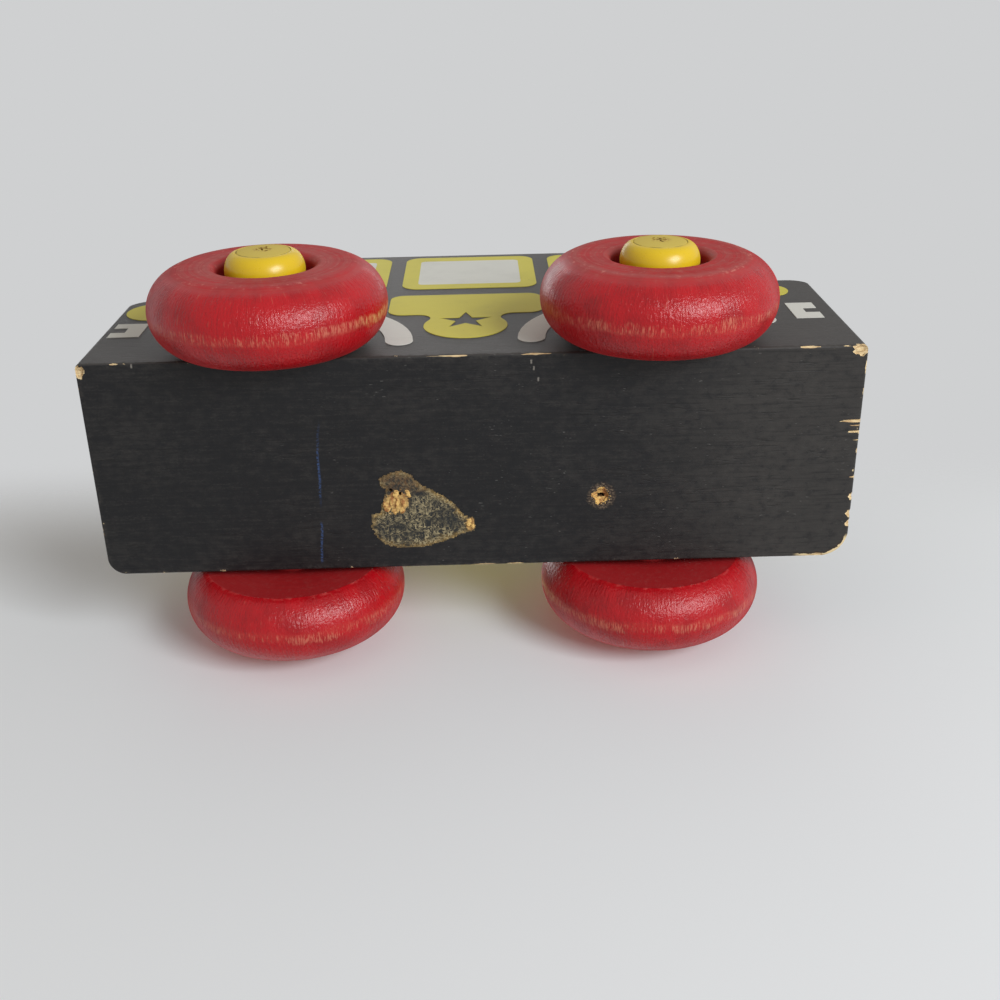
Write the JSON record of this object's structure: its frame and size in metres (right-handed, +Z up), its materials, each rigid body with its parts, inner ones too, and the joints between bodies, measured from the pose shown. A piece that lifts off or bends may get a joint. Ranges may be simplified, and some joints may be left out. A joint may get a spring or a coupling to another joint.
{
  "type": "toy police car",
  "caption": "Painted wooden toy car: a saloon-shaped block with printed windows and door stars, on round-rimmed turned wheels that spin on glued axle pegs.",
  "frame": {"origin": "on the floor, under the middle of the car as it stands on its wheels", "axes": "+X forward to the nose, +Y to the car's left, +Z up"},
  "size_m": [0.127, 0.0702, 0.078],
  "materials": {
    "black_paint": "satin black paint on wood, worn at the edges",
    "red_paint": "glossy red paint on turned wood",
    "yellow_paint": "glossy yellow paint on turned wood",
    "yellow_ink": "flat screen-printed ink",
    "white_ink": "flat screen-printed ink"
  },
  "bodies": {
    "car": {"body": "black_paint", "axle_peg_front_left": "yellow_paint", "axle_peg_front_right": "yellow_paint", "axle_peg_rear_left": "yellow_paint", "axle_peg_rear_right": "yellow_paint", "yellow_print_left": "yellow_ink", "yellow_print_right": "yellow_ink", "white_print_left": "white_ink", "white_print_right": "white_ink"},
    "front_left_wheel": {"wheel_front_left": "red_paint"},
    "front_right_wheel": {"wheel_front_right": "red_paint"},
    "rear_left_wheel": {"wheel_rear_left": "red_paint"},
    "rear_right_wheel": {"wheel_rear_right": "red_paint"}
  },
  "joints": [
    {"name": "front_left_wheel_spin", "type": "hinge", "parent": "car", "child": "front_left_wheel", "pos_m": [0.0329, 0.0263, 0.0193], "axis": [0, 1, 0], "continuous": true},
    {"name": "front_right_wheel_spin", "type": "hinge", "parent": "car", "child": "front_right_wheel", "pos_m": [0.0329, -0.0263, 0.0193], "axis": [0, 1, 0], "continuous": true},
    {"name": "rear_left_wheel_spin", "type": "hinge", "parent": "car", "child": "rear_left_wheel", "pos_m": [-0.0304, 0.0263, 0.0193], "axis": [0, 1, 0], "continuous": true},
    {"name": "rear_right_wheel_spin", "type": "hinge", "parent": "car", "child": "rear_right_wheel", "pos_m": [-0.0304, -0.0263, 0.0193], "axis": [0, 1, 0], "continuous": true}
  ]
}
